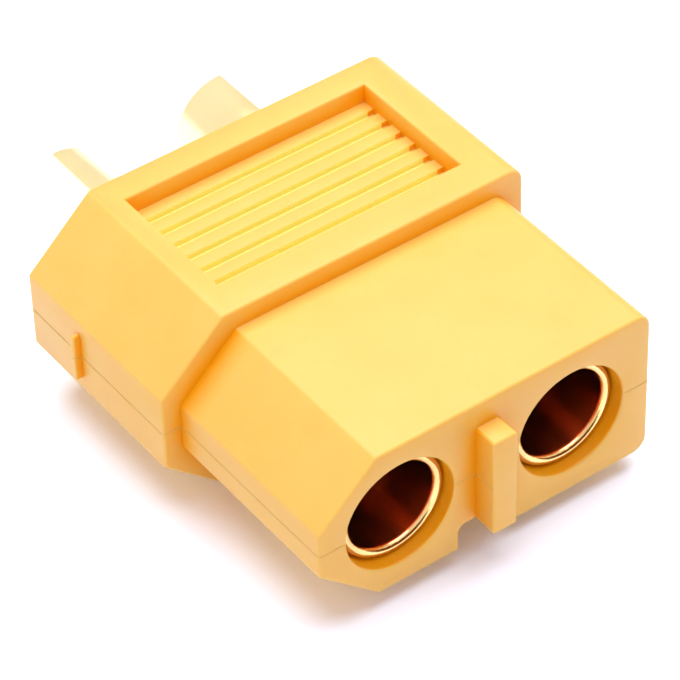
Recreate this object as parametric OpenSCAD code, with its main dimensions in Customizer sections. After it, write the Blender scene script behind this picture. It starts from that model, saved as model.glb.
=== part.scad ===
// Two-pole battery plug with female contacts.
// A one-piece moulded housing holds two identical turned contacts. The narrow nose enters the
// mating shell, and its two bevels on one side key it. The wide grip behind it carries a sunk,
// grooved panel on both faces and a small fin on both sides.
// The contacts run along Y: the mating face looks along -Y and the solder cups stick out along +Y.
// The origin is the middle of the underside of the bounding box. All sizes are millimetres.

/* [Nose] */
// Width of the nose that enters the mating shell
nose_w = 13.9; // [13.4:0.1:15]
// Height of the nose
nose_h = 6.3; // [5.9:0.1:7.2]
// Length of the nose, from the mating face to the shoulder
nose_len = 7.9; // [6:0.1:9]
// Width of the two bevels that key the nose
nose_bevel_w = 2.4; // [1.6:0.1:2.6]
// Height of the two bevels that key the nose
nose_bevel_h = 2.2; // [1.4:0.1:2.3]
// Radius of the two corners on the square side of the nose
nose_corner_r = 0.6; // [0.2:0.1:1]

/* [Grip] */
// How far the shoulder stands out at the sides
shoulder_w = 0.75; // [0.4:0.05:1.5]
// How far the shoulder stands out above and below
shoulder_h = 0.8; // [0.5:0.05:1.5]
// Length of the grip, from the shoulder to the rear face
grip_len = 8.2; // [7.8:0.1:12]
// Width of the two bevels of the grip
grip_bevel_w = 2.65; // [1.8:0.05:3.2]
// Height of the two bevels of the grip
grip_bevel_h = 2.4; // [1.6:0.1:2.6]
// Radius of the two corners on the square side of the grip
grip_corner_r = 0.6; // [0.2:0.1:1]

/* [Grip panel] */
// How deep the panel is sunk into the face
panel_depth = 0.8; // [0.4:0.05:0.9]
// Length of the panel along the plug
panel_len = 5.6; // [3:0.1:6]
// Land between the shoulder and the panel
panel_front_land = 1.45; // [0.8:0.05:1.6]
// Land between the edge of the bevel and the panel
panel_bevel_land = 0.85; // [0.5:0.05:2]
// Land between the square side and the panel
panel_side_land = 1.65; // [1:0.05:3]
// Distance from one groove of the panel to the next
groove_pitch = 0.82; // [0.6:0.02:1.4]
// Width of a groove
groove_w = 0.28; // [0.15:0.01:0.4]
// Depth of a groove below the panel
groove_depth = 0.2; // [0.1:0.01:0.3]

/* [Fins] */
// Height of the fin on each side
fin_h = 2; // [1:0.1:3]
// Thickness of a fin along the plug
fin_t = 0.2; // [0.2:0.05:0.8]
// How far a fin stands out
fin_reach = 0.3; // [0.2:0.05:0.8]
// Distance from the rear face to the fins
fin_inset = 3; // [1:0.1:4]

/* [Key] */
// Thickness of the upright rib between the sockets
key_w = 1; // [0.7:0.05:1.2]
// How far the rib stands out of the mating face
key_reach = 1; // [0.5:0.1:2]
// Width of the keyway along the underside of the nose
keyway_w = 2.4; // [1.4:0.1:2.6]
// Depth of the keyway
keyway_depth = 1.05; // [0.5:0.05:1.2]
// Radius of the keyway's inner corners
keyway_r = 0.3; // [0.1:0.05:0.45]

/* [Contacts] */
// Distance between the two contact axes
contact_pitch = 7.2; // [7:0.05:7.6]
// Outside diameter of a contact where the housing holds it
contact_d = 4.3; // [4:0.05:4.5]
// Diameter of the socket, for the mating pin
socket_d = 3.5; // [3:0.05:3.6]
// Depth of the socket, from the contact's rim
socket_depth = 8.2; // [6:0.1:8.8]
// How far the contact's rim lies behind the mating face
rim_recess = 0.45; // [0.2:0.05:1.2]
// Chamfer on the rim of the socket
rim_chamfer = 0.12; // [0.05:0.01:0.15]
// Outside diameter of the solder cup
cup_d = 4; // [3.9:0.05:4.3]
// Inside diameter of the solder cup
cup_bore_d = 3.3; // [2.8:0.05:3.4]
// Depth of the solder cup, from its end
cup_depth = 7.8; // [6:0.1:8]
// How far the solder cup sticks out of the rear face
cup_reach = 4.6; // [3.4:0.1:5]
// Length of the cup behind the rear face that stays fully round
cup_round_len = 0.9; // [0.3:0.1:1.2]
// Length of the slope that opens the cup to a half round
cup_slope_len = 1; // [0.6:0.1:1.6]
// How far the half round reaches past the contact's axis on its open side
cup_lip = 0.1; // [0:0.05:0.3]

/* [Seats] */
// Radial and axial clearance between a contact and the housing
seat_gap = 0.07; // [0.03:0.01:0.15]
// Depth of the groove round a contact that the housing's inner ring snaps into
snap_depth = 0.2; // [0.1:0.01:0.25]
// Length of that groove
snap_len = 1.2; // [0.8:0.1:1.6]
// Distance from the rear face to the middle of that groove
snap_inset = 4.1; // [3.8:0.1:4.3]

/* [Hidden] */
$fn = 96;

housing_color = [0.98, 0.78, 0.28];
gold_color = [0.93, 0.76, 0.42];

// The square side is the positive one, and the bevelled side is the negative one.
positive_side = 1;
negative_side = -1;

housing_len = nose_len + grip_len;
grip_w = nose_w + 2 * shoulder_w;
grip_h = nose_h + 2 * shoulder_h;
cup_end = housing_len + cup_reach;

// A cut reaches this far past the faces that it opens.
over = 1;
// A rib or fin starts this far inside the wall that carries it.
root = 0.5;

hole_r = contact_d / 2 + seat_gap;
snap_y = housing_len - snap_inset;
drill_half_angle = 59;

panel_x = [-grip_w / 2 + grip_bevel_w + panel_bevel_land, grip_w / 2 - panel_side_land];
panel_y = nose_len + panel_front_land;
groove_count = floor((panel_len - groove_w / 2) / groove_pitch);

// From the middle of the mating face to the origin
origin_shift = [0, (key_reach - cup_end) / 2, grip_h / 2];

// Carries an outline drawn in X and Z along Y, from y0 to y1.
module along_y(y0, y1)
    translate([0, y1, 0])
        rotate([90, 0, 0])
            linear_extrude(y1 - y0)
                children();

// Keyed outline: a bevel above and below at -X, and a round corner above and below at +X.
module keyed_outline(w, h, bevel_w, bevel_h, corner_r) {
    polygon([
        [-w / 2, bevel_h - h / 2],
        [-w / 2 + bevel_w, -h / 2],
        [w / 2 - corner_r, -h / 2],
        [w / 2 - corner_r, h / 2],
        [-w / 2 + bevel_w, h / 2],
        [-w / 2, h / 2 - bevel_h]
    ]);
    translate([0, corner_r - h / 2])
        square([w / 2, h - 2 * corner_r]);
    for (side = [-1, 1])
        translate([w / 2 - corner_r, side * (h / 2 - corner_r)])
            circle(corner_r);
}

module nose() {
    along_y(0, nose_len + root)
        keyed_outline(nose_w, nose_h, nose_bevel_w, nose_bevel_h, nose_corner_r);
}

module grip() {
    along_y(nose_len, housing_len)
        keyed_outline(grip_w, grip_h, grip_bevel_w, grip_bevel_h, grip_corner_r);
}

// The rib ends above and below where the keyway's ceiling lies.
module key_rib() {
    key_h = nose_h - 2 * keyway_depth;
    translate([-key_w / 2, -key_reach, -key_h / 2])
        cube([key_w, key_reach + root, key_h]);
}

module fins() {
    translate([-grip_w / 2 - fin_reach, housing_len - fin_inset - fin_t, -fin_h / 2])
        cube([grip_w + 2 * fin_reach, fin_t, fin_h]);
}

// Slot along the underside of the nose, with round inner corners, up to the shoulder.
module keyway() {
    along_y(-over, nose_len)
        translate([0, -nose_h / 2]) {
            translate([-keyway_w / 2, -over])
                square([keyway_w, over + keyway_depth - keyway_r]);
            translate([keyway_r - keyway_w / 2, -over])
                square([keyway_w - 2 * keyway_r, over + keyway_depth]);
            for (side = [-1, 1])
                translate([side * (keyway_w / 2 - keyway_r), keyway_depth - keyway_r])
                    circle(keyway_r);
        }
}

// Sunk panel in the upper face of the grip, with grooves across its floor.
module grip_panel() {
    panel_w = panel_x[1] - panel_x[0];
    translate([panel_x[0], panel_y, grip_h / 2 - panel_depth])
        cube([panel_w, panel_len, panel_depth + over]);
    for (i = [1:groove_count])
        translate([panel_x[0], panel_y + i * groove_pitch - groove_w / 2,
                   grip_h / 2 - panel_depth - groove_depth])
            cube([panel_w, groove_w, groove_depth + over]);
}

// Through hole for one contact, with the ring that snaps into the contact's groove left standing.
module contact_hole() {
    ring_r = hole_r - snap_depth;
    ring_half = snap_len / 2 - seat_gap;
    rotate([-90, 0, 0])
        rotate_extrude()
            polygon([
                [0, -over],
                [hole_r, -over],
                [hole_r, snap_y - ring_half],
                [ring_r, snap_y - ring_half],
                [ring_r, snap_y + ring_half],
                [hole_r, snap_y + ring_half],
                [hole_r, housing_len + over],
                [0, housing_len + over]
            ]);
}

module housing() {
    color(housing_color)
        translate(origin_shift)
            difference() {
                union() {
                    nose();
                    grip();
                    key_rib();
                    fins();
                }
                keyway();
                grip_panel();
                mirror([0, 0, 1])
                    grip_panel();
                for (side = [positive_side, negative_side])
                    translate([side * contact_pitch / 2, 0, 0])
                        contact_hole();
            }
}

// Turned blank of a contact: socket at the front, solid web with the snap groove, cup behind.
module contact_blank() {
    rod_r = contact_d / 2;
    socket_r = socket_d / 2;
    cup_r = cup_d / 2;
    cup_bore_r = cup_bore_d / 2;
    snap_r = rod_r - snap_depth;
    socket_end = rim_recess + socket_depth;
    cup_floor = cup_end - cup_depth;
    rod_end = housing_len - seat_gap;
    rotate([-90, 0, 0])
        rotate_extrude()
            polygon([
                [0, socket_end + socket_r / tan(drill_half_angle)],
                [socket_r, socket_end],
                [socket_r, rim_recess + rim_chamfer],
                [socket_r + rim_chamfer, rim_recess],
                [rod_r - rim_chamfer, rim_recess],
                [rod_r, rim_recess + rim_chamfer],
                [rod_r, snap_y - snap_len / 2],
                [snap_r, snap_y - snap_len / 2],
                [snap_r, snap_y + snap_len / 2],
                [rod_r, snap_y + snap_len / 2],
                [rod_r, rod_end],
                [cup_r, rod_end],
                [cup_r, cup_end],
                [cup_bore_r, cup_end],
                [cup_bore_r, cup_floor],
                [0, cup_floor - cup_bore_r / tan(drill_half_angle)]
            ]);
}

// Cut that opens the cup towards +X: a slope down to the lip, then a flat half round.
module cup_cut() {
    slope_start = housing_len + cup_round_len;
    slope_end = slope_start + cup_slope_len;
    reach = cup_d / 2;
    translate([0, 0, -reach - over])
        linear_extrude(2 * (reach + over))
            polygon([
                [cup_lip, slope_end],
                [reach, slope_start],
                [reach + over, slope_start],
                [reach + over, cup_end + over],
                [cup_lip, cup_end + over]
            ]);
}

// One contact, with its cup open towards the nearer side of the housing.
module contact(side) {
    color(gold_color)
        translate(origin_shift)
            translate([side * contact_pitch / 2, 0, 0])
                difference() {
                    contact_blank();
                    rotate([0, side > 0 ? 0 : 180, 0])
                        cup_cut();
                }
}

module positive_contact() {
    contact(positive_side);
}

module negative_contact() {
    contact(negative_side);
}

housing();
positive_contact();
negative_contact();
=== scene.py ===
"""Looks of a two-pole battery lead connector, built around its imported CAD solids.

The housing is moulded nylon and the two contacts are gold plated. All three get rounded edges,
and the housing gets the fine line that its mould halves leave. All lengths are metres.
"""

from math import cos, radians, sin

import bmesh
import bpy
from mathutils import Matrix, Vector


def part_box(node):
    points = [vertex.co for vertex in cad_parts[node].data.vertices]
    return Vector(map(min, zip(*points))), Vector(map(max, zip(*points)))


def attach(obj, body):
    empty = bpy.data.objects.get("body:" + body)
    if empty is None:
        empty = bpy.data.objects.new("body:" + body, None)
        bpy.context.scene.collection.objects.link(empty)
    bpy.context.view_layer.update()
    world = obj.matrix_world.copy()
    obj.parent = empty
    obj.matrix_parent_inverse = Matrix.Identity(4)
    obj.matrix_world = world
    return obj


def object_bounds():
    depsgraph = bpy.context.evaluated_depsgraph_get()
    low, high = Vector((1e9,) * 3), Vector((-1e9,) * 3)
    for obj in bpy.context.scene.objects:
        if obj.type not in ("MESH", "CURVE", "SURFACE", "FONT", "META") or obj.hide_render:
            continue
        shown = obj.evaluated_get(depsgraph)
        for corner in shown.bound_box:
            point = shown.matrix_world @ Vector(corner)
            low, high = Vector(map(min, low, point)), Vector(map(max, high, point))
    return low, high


MM = 0.001
WHITE = (1.0, 1.0, 1.0, 1.0)
WARM = (1.0, 0.68, 0.56, 1.0)

# Camera: where it stands, seen from the middle of the part
VIEW_AZIMUTH = radians(-34.91)
VIEW_ELEVATION = radians(42.37)
VIEW_ROLL = radians(-1.995)
VIEW_DISTANCE = 134.3 * MM
VIEW_AIM_OFFSET = Vector((-0.15, -1.74, 0.0)) * MM
LENS_MM = 205.5
SENSOR_MM = 36.0
CLIP_START = 10 * MM

# Dark card in front, which only reflections show
CARD_DISTANCE = 20 * MM
CARD_HEIGHT = 13 * MM
CARD_SPAN = (-6 * MM, 24 * MM)
CARD_COLOR = (0.22, 0.06, 0.03, 1.0)

# Floor and background: what lights the part, and what the camera and reflections see
FLOOR_SIZE = 0.32
FLOOR_ALBEDO = (0.86, 0.86, 0.86, 1.0)
FLOOR_SEEN = (1.17, 1.34, 1.62, 1.0)
AMBIENT_STRENGTH = 0.44
AMBIENT_COLOR = (1.0, 0.80, 0.84, 1.0)

# Lamps: name, place from the middle of the part, diameter, watts, color
LAMPS = (
    ("overhead", (0.03, 0.03, 0.26), 0.32, 0.82, WHITE),
    ("left", (-0.25, 0.0, 0.06), 0.14, 0.06, WARM),
    ("front", (-0.02, -0.25, 0.06), 0.14, 0.04, WARM),
)

# Edge rounding, on top of the solids: the widest, and the share of it on finer edges.
# At 0.08 mm the contacts' flat rims come out wrong, as faces across the sockets.
HOUSING_ROUNDING = 0.1 * MM
CONTACT_ROUNDING = 0.09 * MM
ROUNDING_SEGMENTS = 3
FIN_SHARE = 0.9
GROOVE_SHARE = 0.3
SHARP_ANGLE = radians(28)
SMOOTH_ANGLE = radians(38)
WELD_DISTANCE = 0.002 * MM
PLANAR_ANGLE = radians(0.6)

# Line between the mould halves
LINE_RADIUS = 0.018 * MM
LINE_SIDES = 8
LINE_MARGIN = 0.05 * MM

# Places on the housing, from the sides, front end, and top of the part's box
FIN_ZONE = 0.28 * MM
BEHIND_SHOULDER = 9.2 * MM
GROOVE_EDGE_DEPTH = 0.75 * MM
# Depth below the top where the band with the grooves' painted light begins
GROOVE_TINT_DEPTH = 0.81 * MM
GROOVE_ZONE = 0.35 * MM
PANEL_START = 10.3 * MM
PANEL_END = 15.8 * MM
PANEL_REACH = 5.8 * MM

# Distances from a contact's axis: just past the socket's wall, and past the contact's own radius
SOCKET_RADIUS = 1.775 * MM
HOLE_MARGIN = 0.09 * MM
LINE_CLEARANCE = 0.15 * MM

# Moulded nylon
NYLON_COLOR = (0.97, 0.62, 0.137, 1.0)
NYLON_DEEP_COLOR = (0.96, 0.595, 0.12, 1.0)
# Painted shade: a deep orange on walls that rise from creases and on the hole walls round the contacts
NYLON_PAINTED_SHADE_COLOR = (0.96, 0.44, 0.0, 1.0)
# Painted light: a lighter yellow over the panel grooves, which lifts the shade in them
NYLON_GROOVE_PAINTED_LIGHT_COLOR = (0.93, 0.84, 0.25, 1.0)
# Reach of the painted shade's occlusion test, and the ranges over which the painted shade fades out
CREASE_REACH = 1.4 * MM
CREASE_OPENNESS = (0.58, 0.95)
LEVEL = (0.85, 0.98)
NYLON_SUBSURFACE = 0.45
NYLON_SUBSURFACE_RADIUS = (1.0, 0.5, 0.2)
NYLON_SUBSURFACE_SCALE = 0.5 * MM
NYLON_IOR = 1.5
NYLON_ROUGHNESS = (0.36, 0.48)
GRAIN_SCALE = 5200.0
GRAIN_DEPTH = 0.006 * MM

# Gold plating on turned brass
GOLD_COLOR = (1.0, 0.84, 0.45, 1.0)
GOLD_WORN_COLOR = (0.97, 0.77, 0.37, 1.0)
# Painted shade: a darker, deeper gold on the contacts' recessed rims, which tones down their reflections
GOLD_RIM_PAINTED_SHADE_COLOR = (0.88, 0.64, 0.24, 1.0)
# Painted shade: a redder gold inside the socket bores, which renders them dark red-brown
GOLD_SOCKET_PAINTED_SHADE_COLOR = (1.0, 0.52, 0.28, 1.0)
GOLD_ROUGHNESS = (0.08, 0.2)
TURNING_SCALE = 6500.0
TURNING_WAVER = 1.2
TURNING_DEPTH = 0.0015 * MM

# Slow change of color over both materials
MOTTLE_SCALE = 420.0
MOTTLE_STEP = (0.35, 0.65)
NYLON_DETAIL = 3.0
GOLD_DETAIL = 5.0


class Nodes:
    """Short hand for the nodes of one tree. A value is a constant or a socket."""

    def __init__(self, tree):
        self.tree = tree

    def add(self, kind, **values):
        node = self.tree.nodes.new(kind)
        for name, value in values.items():
            if name in node.inputs:
                node.inputs[name].default_value = value
            else:
                setattr(node, name, value)
        return node

    def feed(self, value, socket):
        if isinstance(value, bpy.types.NodeSocket):
            self.tree.links.new(value, socket)
        else:
            socket.default_value = value

    def compute(self, operation, *values):
        node = self.add("ShaderNodeMath", operation=operation)
        for socket, value in zip(node.inputs, values):
            self.feed(value, socket)
        return node.outputs["Value"]

    def above(self, value, limit):
        return self.compute("GREATER_THAN", value, limit)

    def below(self, value, limit):
        return self.compute("LESS_THAN", value, limit)

    def every(self, first, *others):
        """1 where all the tests are 1."""
        for test in others:
            first = self.compute("MULTIPLY", first, test)
        return first

    def remap(self, value, source=(0.0, 1.0), target=(0.0, 1.0)):
        node = self.add("ShaderNodeMapRange")
        for name, limit in zip(("From Min", "From Max", "To Min", "To Max"), source + target):
            node.inputs[name].default_value = limit
        self.feed(value, node.inputs["Value"])
        return node.outputs["Result"]

    def split(self, vector):
        node = self.add("ShaderNodeSeparateXYZ")
        self.feed(vector, node.inputs["Vector"])
        return node.outputs["X"], node.outputs["Y"], node.outputs["Z"]

    def blend(self, factor, under, over):
        """Color that goes from under to over with the factor."""
        node = self.add("ShaderNodeMix", data_type="RGBA")
        self.feed(factor, node.inputs["Factor"])
        for socket, color in zip((s for s in node.inputs if s.type == "RGBA"), (under, over)):
            self.feed(color, socket)
        return next(s for s in node.outputs if s.type == "RGBA")

    def ramp(self, factor, low_color, high_color):
        node = self.add("ShaderNodeValToRGB")
        for stop, position, color in zip(node.color_ramp.elements, MOTTLE_STEP, (low_color, high_color)):
            stop.position, stop.color = position, color
        self.feed(factor, node.inputs["Fac"])
        return node.outputs["Color"]

    def noise(self, place, scale, detail):
        node = self.add("ShaderNodeTexNoise", Scale=scale, Detail=detail)
        self.feed(place, node.inputs["Vector"])
        return node.outputs["Fac"]

    def bump(self, height, depth):
        node = self.add("ShaderNodeBump", Distance=depth)
        self.feed(height, node.inputs["Height"])
        return node.outputs["Normal"]


def link(obj):
    bpy.context.scene.collection.objects.link(obj)
    return obj


def shader_nodes(owner):
    """Empty node tree of a material or world."""
    owner.use_nodes = True
    owner.node_tree.nodes.clear()
    return Nodes(owner.node_tree)


def new_material(name):
    material = bpy.data.materials.new(name)
    return material, shader_nodes(material)


def show(nodes, shader):
    nodes.feed(shader, nodes.add("ShaderNodeOutputMaterial").inputs["Surface"])


def level_distance(nodes, z):
    """Distance above or below the middle of the part."""
    return nodes.compute("ABSOLUTE", nodes.compute("SUBTRACT", z, centre.z))


def openness(nodes, normal):
    """Mask for the painted shade: 0 on walls that rise from a crease, 1 on open faces and on level ones.
    """
    near = nodes.add("ShaderNodeAmbientOcclusion", Distance=CREASE_REACH, only_local=True)
    upright = nodes.compute("ABSOLUTE", nodes.split(normal)[2])
    return nodes.compute(
        "MAXIMUM", nodes.remap(near.outputs["AO"], CREASE_OPENNESS), nodes.remap(upright, LEVEL))


def in_groove(nodes, place):
    """1 in the grooves of both sunk panels, where the painted light goes."""
    x, y, z = nodes.split(place)
    height = level_distance(nodes, z)
    mouth = half_height - GROOVE_TINT_DEPTH
    return nodes.every(
        nodes.below(height, mouth),
        nodes.above(height, mouth - GROOVE_ZONE),
        nodes.above(y, low.y + PANEL_START),
        nodes.below(y, low.y + PANEL_END),
        nodes.below(nodes.compute("ABSOLUTE", x), PANEL_REACH),
    )


def in_bore(nodes, place, limit):
    """1 nearer than the limit to a contact's axis, in the front half: the mask for painted shade in
    holes, on rims and in bores.
    """
    x, y, z = nodes.split(place)
    across = nodes.compute("SUBTRACT", nodes.compute("ABSOLUTE", x), contact_axis)
    squares = [nodes.compute("MULTIPLY", value, value) for value in (across, level_distance(nodes, z))]
    radius = nodes.compute("SQRT", nodes.compute("ADD", *squares))
    return nodes.every(nodes.below(radius, limit), nodes.below(y, centre.y))


def moulded_nylon():
    material, nodes = new_material("moulded_nylon")
    source = nodes.add("ShaderNodeTexCoord")
    place = source.outputs["Object"]
    shader = nodes.add("ShaderNodeBsdfPrincipled", subsurface_method="RANDOM_WALK", IOR=NYLON_IOR)
    shader.inputs["Subsurface Weight"].default_value = NYLON_SUBSURFACE
    shader.inputs["Subsurface Radius"].default_value = NYLON_SUBSURFACE_RADIUS
    shader.inputs["Subsurface Scale"].default_value = NYLON_SUBSURFACE_SCALE
    grain = nodes.noise(place, GRAIN_SCALE, NYLON_DETAIL)
    color = nodes.ramp(nodes.noise(place, MOTTLE_SCALE, NYLON_DETAIL), NYLON_DEEP_COLOR, NYLON_COLOR)
    # Painted shade in creases, found by ambient occlusion
    color = nodes.blend(openness(nodes, source.outputs["Normal"]), NYLON_PAINTED_SHADE_COLOR, color)
    # Painted shade on the hole walls round the contacts
    color = nodes.blend(in_bore(nodes, place, hole_radius), color, NYLON_PAINTED_SHADE_COLOR)
    # Painted light in the panel grooves, laid over the painted shade
    color = nodes.blend(in_groove(nodes, place), color, NYLON_GROOVE_PAINTED_LIGHT_COLOR)
    nodes.feed(color, shader.inputs["Base Color"])
    nodes.feed(nodes.remap(grain, target=NYLON_ROUGHNESS), shader.inputs["Roughness"])
    nodes.feed(nodes.bump(grain, GRAIN_DEPTH), shader.inputs["Normal"])
    show(nodes, shader.outputs["BSDF"])
    return material


def plated_gold():
    material, nodes = new_material("plated_gold")
    place = nodes.add("ShaderNodeTexCoord").outputs["Object"]
    shader = nodes.add("ShaderNodeBsdfPrincipled", Metallic=1.0)
    marks = nodes.add(
        "ShaderNodeTexWave", bands_direction="Y", Scale=TURNING_SCALE, Distortion=TURNING_WAVER)
    nodes.feed(place, marks.inputs["Vector"])
    wear = nodes.noise(place, MOTTLE_SCALE, GOLD_DETAIL)
    color = nodes.ramp(wear, GOLD_WORN_COLOR, GOLD_COLOR)
    # Painted shade on the rims, recessed in the holes
    color = nodes.blend(in_bore(nodes, place, hole_radius), color, GOLD_RIM_PAINTED_SHADE_COLOR)
    # Painted shade inside the socket bores
    color = nodes.blend(in_bore(nodes, place, SOCKET_RADIUS), color, GOLD_SOCKET_PAINTED_SHADE_COLOR)
    nodes.feed(color, shader.inputs["Base Color"])
    nodes.feed(nodes.remap(wear, target=GOLD_ROUGHNESS), shader.inputs["Roughness"])
    nodes.feed(nodes.bump(marks.outputs["Fac"], TURNING_DEPTH), shader.inputs["Normal"])
    show(nodes, shader.outputs["BSDF"])
    return material


def seen_directly(nodes):
    """1 on camera, glossy and transmission rays, so that metal shows the background too."""
    path = nodes.add("ShaderNodeLightPath")
    seen = path.outputs["Is Camera Ray"]
    for name in ("Is Glossy Ray", "Is Transmission Ray"):
        seen = nodes.compute("MAXIMUM", seen, path.outputs[name])
    return seen


def choose_seen(nodes, unseen, seen):
    """Shader that differs between the light on the part and what the camera and metal see."""
    choice = nodes.add("ShaderNodeMixShader")
    for value, socket in zip((seen_directly(nodes), unseen, seen), choice.inputs):
        nodes.feed(value, socket)
    return choice.outputs["Shader"]


def pale_floor():
    material, nodes = new_material("pale_floor")
    paper, bright = (
        nodes.add("ShaderNodeBsdfDiffuse", Color=color).outputs["BSDF"]
        for color in (FLOOR_ALBEDO, FLOOR_SEEN))
    show(nodes, choose_seen(nodes, paper, bright))
    return material


def dark_paper():
    material, nodes = new_material("dark_card")
    show(nodes, nodes.add("ShaderNodeBsdfDiffuse", Color=CARD_COLOR).outputs["BSDF"])
    return material


def white_world():
    world = bpy.data.worlds.new("studio")
    bpy.context.scene.world = world
    nodes = shader_nodes(world)
    ambient = nodes.add("ShaderNodeBackground", Color=AMBIENT_COLOR, Strength=AMBIENT_STRENGTH)
    backdrop = nodes.add("ShaderNodeBackground", Color=WHITE)
    choice = choose_seen(nodes, ambient.outputs["Background"], backdrop.outputs["Background"])
    nodes.feed(choice, nodes.add("ShaderNodeOutputWorld").inputs["Surface"])


def lamp(name, place, target, size, power, color):
    data = bpy.data.lights.new(name, "AREA")
    data.color = color[:3]
    data.shape = "DISK"
    data.size = size
    data.energy = power
    obj = link(bpy.data.objects.new(name, data))
    obj.location = place
    obj.rotation_euler = (target - place).to_track_quat("-Z", "Y").to_euler()


def sheet(name, corners, material):
    """One flat stage piece."""
    mesh = bpy.data.meshes.new(name)
    mesh.from_pydata(corners, [], [(0, 1, 2, 3)])
    mesh.materials.append(material)
    obj = link(bpy.data.objects.new(name, mesh))
    return obj


def studio(middle, ground):
    half = FLOOR_SIZE / 2
    corners = [(-half, -half, ground), (half, -half, ground), (half, half, ground), (-half, half, ground)]
    sheet("floor", corners, pale_floor())
    white_world()
    for name, offset, size, power, color in LAMPS:
        lamp(name, middle + Vector(offset), middle, size, power, color)


def dark_card(middle, ground):
    """A dark card in front, seen only in reflections, as a photographer's flag is."""
    left, right = CARD_SPAN
    near, top = middle.y - CARD_DISTANCE, ground + CARD_HEIGHT
    corners = [(left, near, ground), (right, near, ground), (right, near, top), (left, near, top)]
    card = sheet("dark_card", corners, dark_paper())
    for ray in ("camera", "diffuse", "transmission", "volume_scatter", "shadow"):
        setattr(card, "visible_" + ray, False)


def camera(middle):
    right = Vector((cos(VIEW_AZIMUTH), sin(VIEW_AZIMUTH), 0))
    back = Vector((
        sin(VIEW_AZIMUTH) * cos(VIEW_ELEVATION),
        -cos(VIEW_AZIMUTH) * cos(VIEW_ELEVATION),
        sin(VIEW_ELEVATION),
    ))
    up = back.cross(right)
    across = cos(VIEW_ROLL) * right + sin(VIEW_ROLL) * up
    above = cos(VIEW_ROLL) * up - sin(VIEW_ROLL) * right
    data = bpy.data.cameras.new("camera")
    data.lens = LENS_MM
    data.sensor_width = SENSOR_MM
    data.clip_start = CLIP_START
    obj = link(bpy.data.objects.new("camera", data))
    turn = Matrix((across, above, back)).transposed().to_4x4()
    obj.matrix_world = Matrix.Translation(middle + VIEW_AIM_OFFSET + back * VIEW_DISTANCE) @ turn
    bpy.context.scene.camera = obj


def geometry_group(name):
    """New node group, with its nodes and the sockets where its geometry comes in and goes out."""
    group = bpy.data.node_groups.new(name, "GeometryNodeTree")
    for direction in ("INPUT", "OUTPUT"):
        group.interface.new_socket("Geometry", in_out=direction, socket_type="NodeSocketGeometry")
    nodes = Nodes(group)
    source = nodes.add("NodeGroupInput").outputs["Geometry"]
    result = nodes.add("NodeGroupOutput").inputs["Geometry"]
    return group, nodes, source, result


def in_fins(nodes, x, y, z):
    return nodes.above(nodes.compute("ABSOLUTE", x), high.x - FIN_ZONE)


def on_groove_edges(nodes, x, y, z):
    height = level_distance(nodes, z)
    top = half_height - GROOVE_EDGE_DEPTH
    return nodes.every(
        nodes.above(y, low.y + BEHIND_SHOULDER),
        nodes.below(height, top),
        nodes.above(height, top - GROOVE_ZONE),
    )


def rounding_weights(name, regions):
    """Node group that marks convex sharp edges for the bevel.

    Each region gives a function of the nodes and x, y, z that is 1 inside it, and the share there.
    """
    group, nodes, source, result = geometry_group(name)
    angle = nodes.add("GeometryNodeInputMeshEdgeAngle")
    weight = nodes.above(angle.outputs["Signed Angle"], SHARP_ANGLE)
    for inside, share in regions:
        place = nodes.split(nodes.add("GeometryNodeInputPosition").outputs["Position"])
        loss = nodes.compute("MULTIPLY", inside(nodes, *place), 1 - share)
        weight = nodes.compute("MULTIPLY", weight, nodes.compute("SUBTRACT", 1.0, loss))
    store = nodes.add(
        "GeometryNodeStoreNamedAttribute", data_type="FLOAT", domain="EDGE", Name="bevel_weight_edge")
    nodes.feed(source, store.inputs["Geometry"])
    nodes.feed(weight, store.inputs["Value"])
    nodes.feed(store.outputs["Geometry"], result)
    return group


def smooth_by_angle():
    """Node group that clears stored normals and shades smooth up to an angle."""
    group, nodes, source, result = geometry_group("smooth_by_angle")
    clear = nodes.add("GeometryNodeRemoveAttribute", Name="custom_normal")
    faces = nodes.add("GeometryNodeSetShadeSmooth")
    edges = nodes.add("GeometryNodeSetShadeSmooth", domain="EDGE")
    angle = nodes.add("GeometryNodeInputMeshEdgeAngle")
    gentle = nodes.add("FunctionNodeCompare", operation="LESS_EQUAL", B=SMOOTH_ANGLE)
    nodes.feed(source, clear.inputs["Geometry"])
    nodes.feed(clear.outputs["Geometry"], faces.inputs["Geometry"])
    nodes.feed(faces.outputs["Geometry"], edges.inputs["Geometry"])
    nodes.feed(angle.outputs["Unsigned Angle"], gentle.inputs["A"])
    nodes.feed(gentle.outputs["Result"], edges.inputs["Shade Smooth"])
    nodes.feed(edges.outputs["Geometry"], result)
    return group


def line_profile(material):
    """Node group that gives each edge line a round section and one material."""
    group, nodes, source, result = geometry_group("line_profile")
    line = nodes.add("GeometryNodeMeshToCurve")
    ring = nodes.add("GeometryNodeCurvePrimitiveCircle", Resolution=LINE_SIDES, Radius=LINE_RADIUS)
    tube = nodes.add("GeometryNodeCurveToMesh")
    tube.inputs["Fill Caps"].default_value = True
    finish = nodes.add("GeometryNodeSetMaterial", Material=material)
    nodes.feed(source, line.inputs["Mesh"])
    nodes.feed(line.outputs["Curve"], tube.inputs["Curve"])
    nodes.feed(ring.outputs["Curve"], tube.inputs["Profile Curve"])
    nodes.feed(tube.outputs["Mesh"], finish.inputs["Geometry"])
    nodes.feed(finish.outputs["Geometry"], result)
    return group


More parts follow.
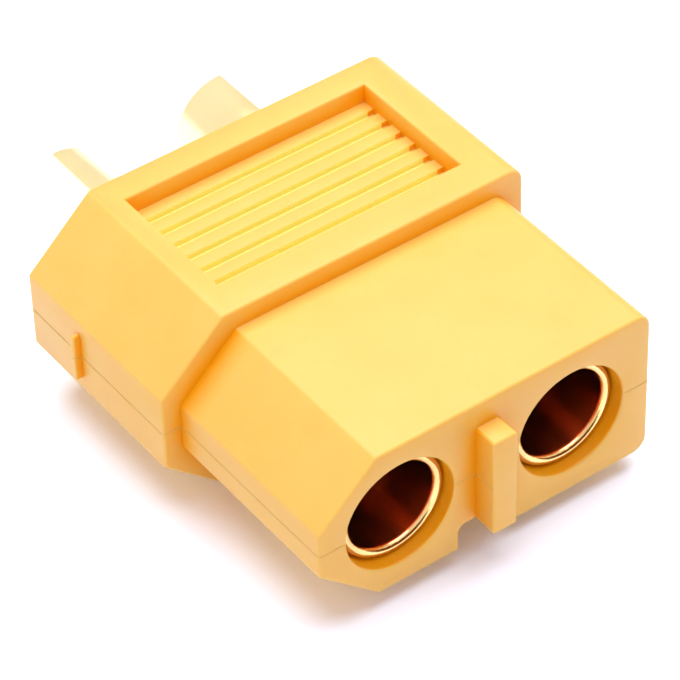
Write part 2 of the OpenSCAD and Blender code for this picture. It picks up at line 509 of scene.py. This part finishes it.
def dress(obj, material, rounding, weights, shading):
    obj.data.materials.clear()
    obj.data.materials.append(material)
    weld = obj.modifiers.new("weld", "WELD")
    weld.merge_threshold = WELD_DISTANCE
    planar = obj.modifiers.new("planar", "DECIMATE")
    planar.decimate_type = "DISSOLVE"
    planar.angle_limit = PLANAR_ANGLE
    obj.modifiers.new("weights", "NODES").node_group = weights
    bevel = obj.modifiers.new("rounding", "BEVEL")
    bevel.width = rounding
    bevel.segments = ROUNDING_SEGMENTS
    bevel.limit_method = "WEIGHT"
    bevel.use_clamp_overlap = False
    obj.modifiers.new("smooth", "NODES").node_group = shading


def is_hidden(edge):
    """Whether a piece of the parting line lies in a contact's hole or on the key's front."""
    middle = (edge.verts[0].co + edge.verts[1].co) / 2
    in_hole = abs(abs(middle.x) - contact_axis) < contact_radius + LINE_CLEARANCE
    return in_hole or middle.y < low.y + LINE_MARGIN


def parting_line(housing, material):
    """The fine line that the two mould halves leave round the housing, level with the contacts."""
    source = housing.evaluated_get(bpy.context.evaluated_depsgraph_get())
    form = bmesh.new()
    form.from_mesh(source.to_mesh())
    everything = form.verts[:] + form.edges[:] + form.faces[:]
    bmesh.ops.bisect_plane(form, geom=everything, plane_co=centre, plane_no=(0, 0, 1),
                           clear_inner=True, clear_outer=True)
    bmesh.ops.delete(form, geom=[edge for edge in form.edges if is_hidden(edge)], context="EDGES")
    bmesh.ops.remove_doubles(form, verts=form.verts[:], dist=LINE_RADIUS)
    mesh = bpy.data.meshes.new("parting_line")
    form.to_mesh(mesh)
    form.free()
    mesh.materials.append(material)
    line = link(bpy.data.objects.new("parting_line", mesh))
    line.modifiers.new("profile", "NODES").node_group = line_profile(material)
    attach(line, "root")


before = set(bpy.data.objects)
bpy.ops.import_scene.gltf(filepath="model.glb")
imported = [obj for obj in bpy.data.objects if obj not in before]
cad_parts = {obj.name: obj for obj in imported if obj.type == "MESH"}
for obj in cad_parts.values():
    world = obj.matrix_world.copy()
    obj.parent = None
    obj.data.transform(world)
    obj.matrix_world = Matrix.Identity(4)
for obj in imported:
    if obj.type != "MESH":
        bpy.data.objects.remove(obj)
cad_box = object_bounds()
low, high = cad_box
centre = (low + high) / 2
half_height = (high.z - low.z) / 2
contact_low, contact_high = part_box("positive_contact")
contact_axis = (contact_low.x + contact_high.x) / 2
contact_radius = (contact_high.x - contact_low.x) / 2
hole_radius = contact_radius + HOLE_MARGIN

shading = smooth_by_angle()
nylon = moulded_nylon()
gold = plated_gold()
housing_weights = rounding_weights(
    "housing_weights", [(in_fins, FIN_SHARE), (on_groove_edges, GROOVE_SHARE)])
contact_weights = rounding_weights("contact_weights", [])
dress(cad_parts["housing"], nylon, HOUSING_ROUNDING, housing_weights, shading)
for name in ("positive_contact", "negative_contact"):
    dress(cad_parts[name], gold, CONTACT_ROUNDING, contact_weights, shading)
parting_line(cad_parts["housing"], nylon)

camera(centre)
studio(centre, low.z)
dark_card(centre, low.z)
bpy.context.scene.view_settings.view_transform = "Standard"
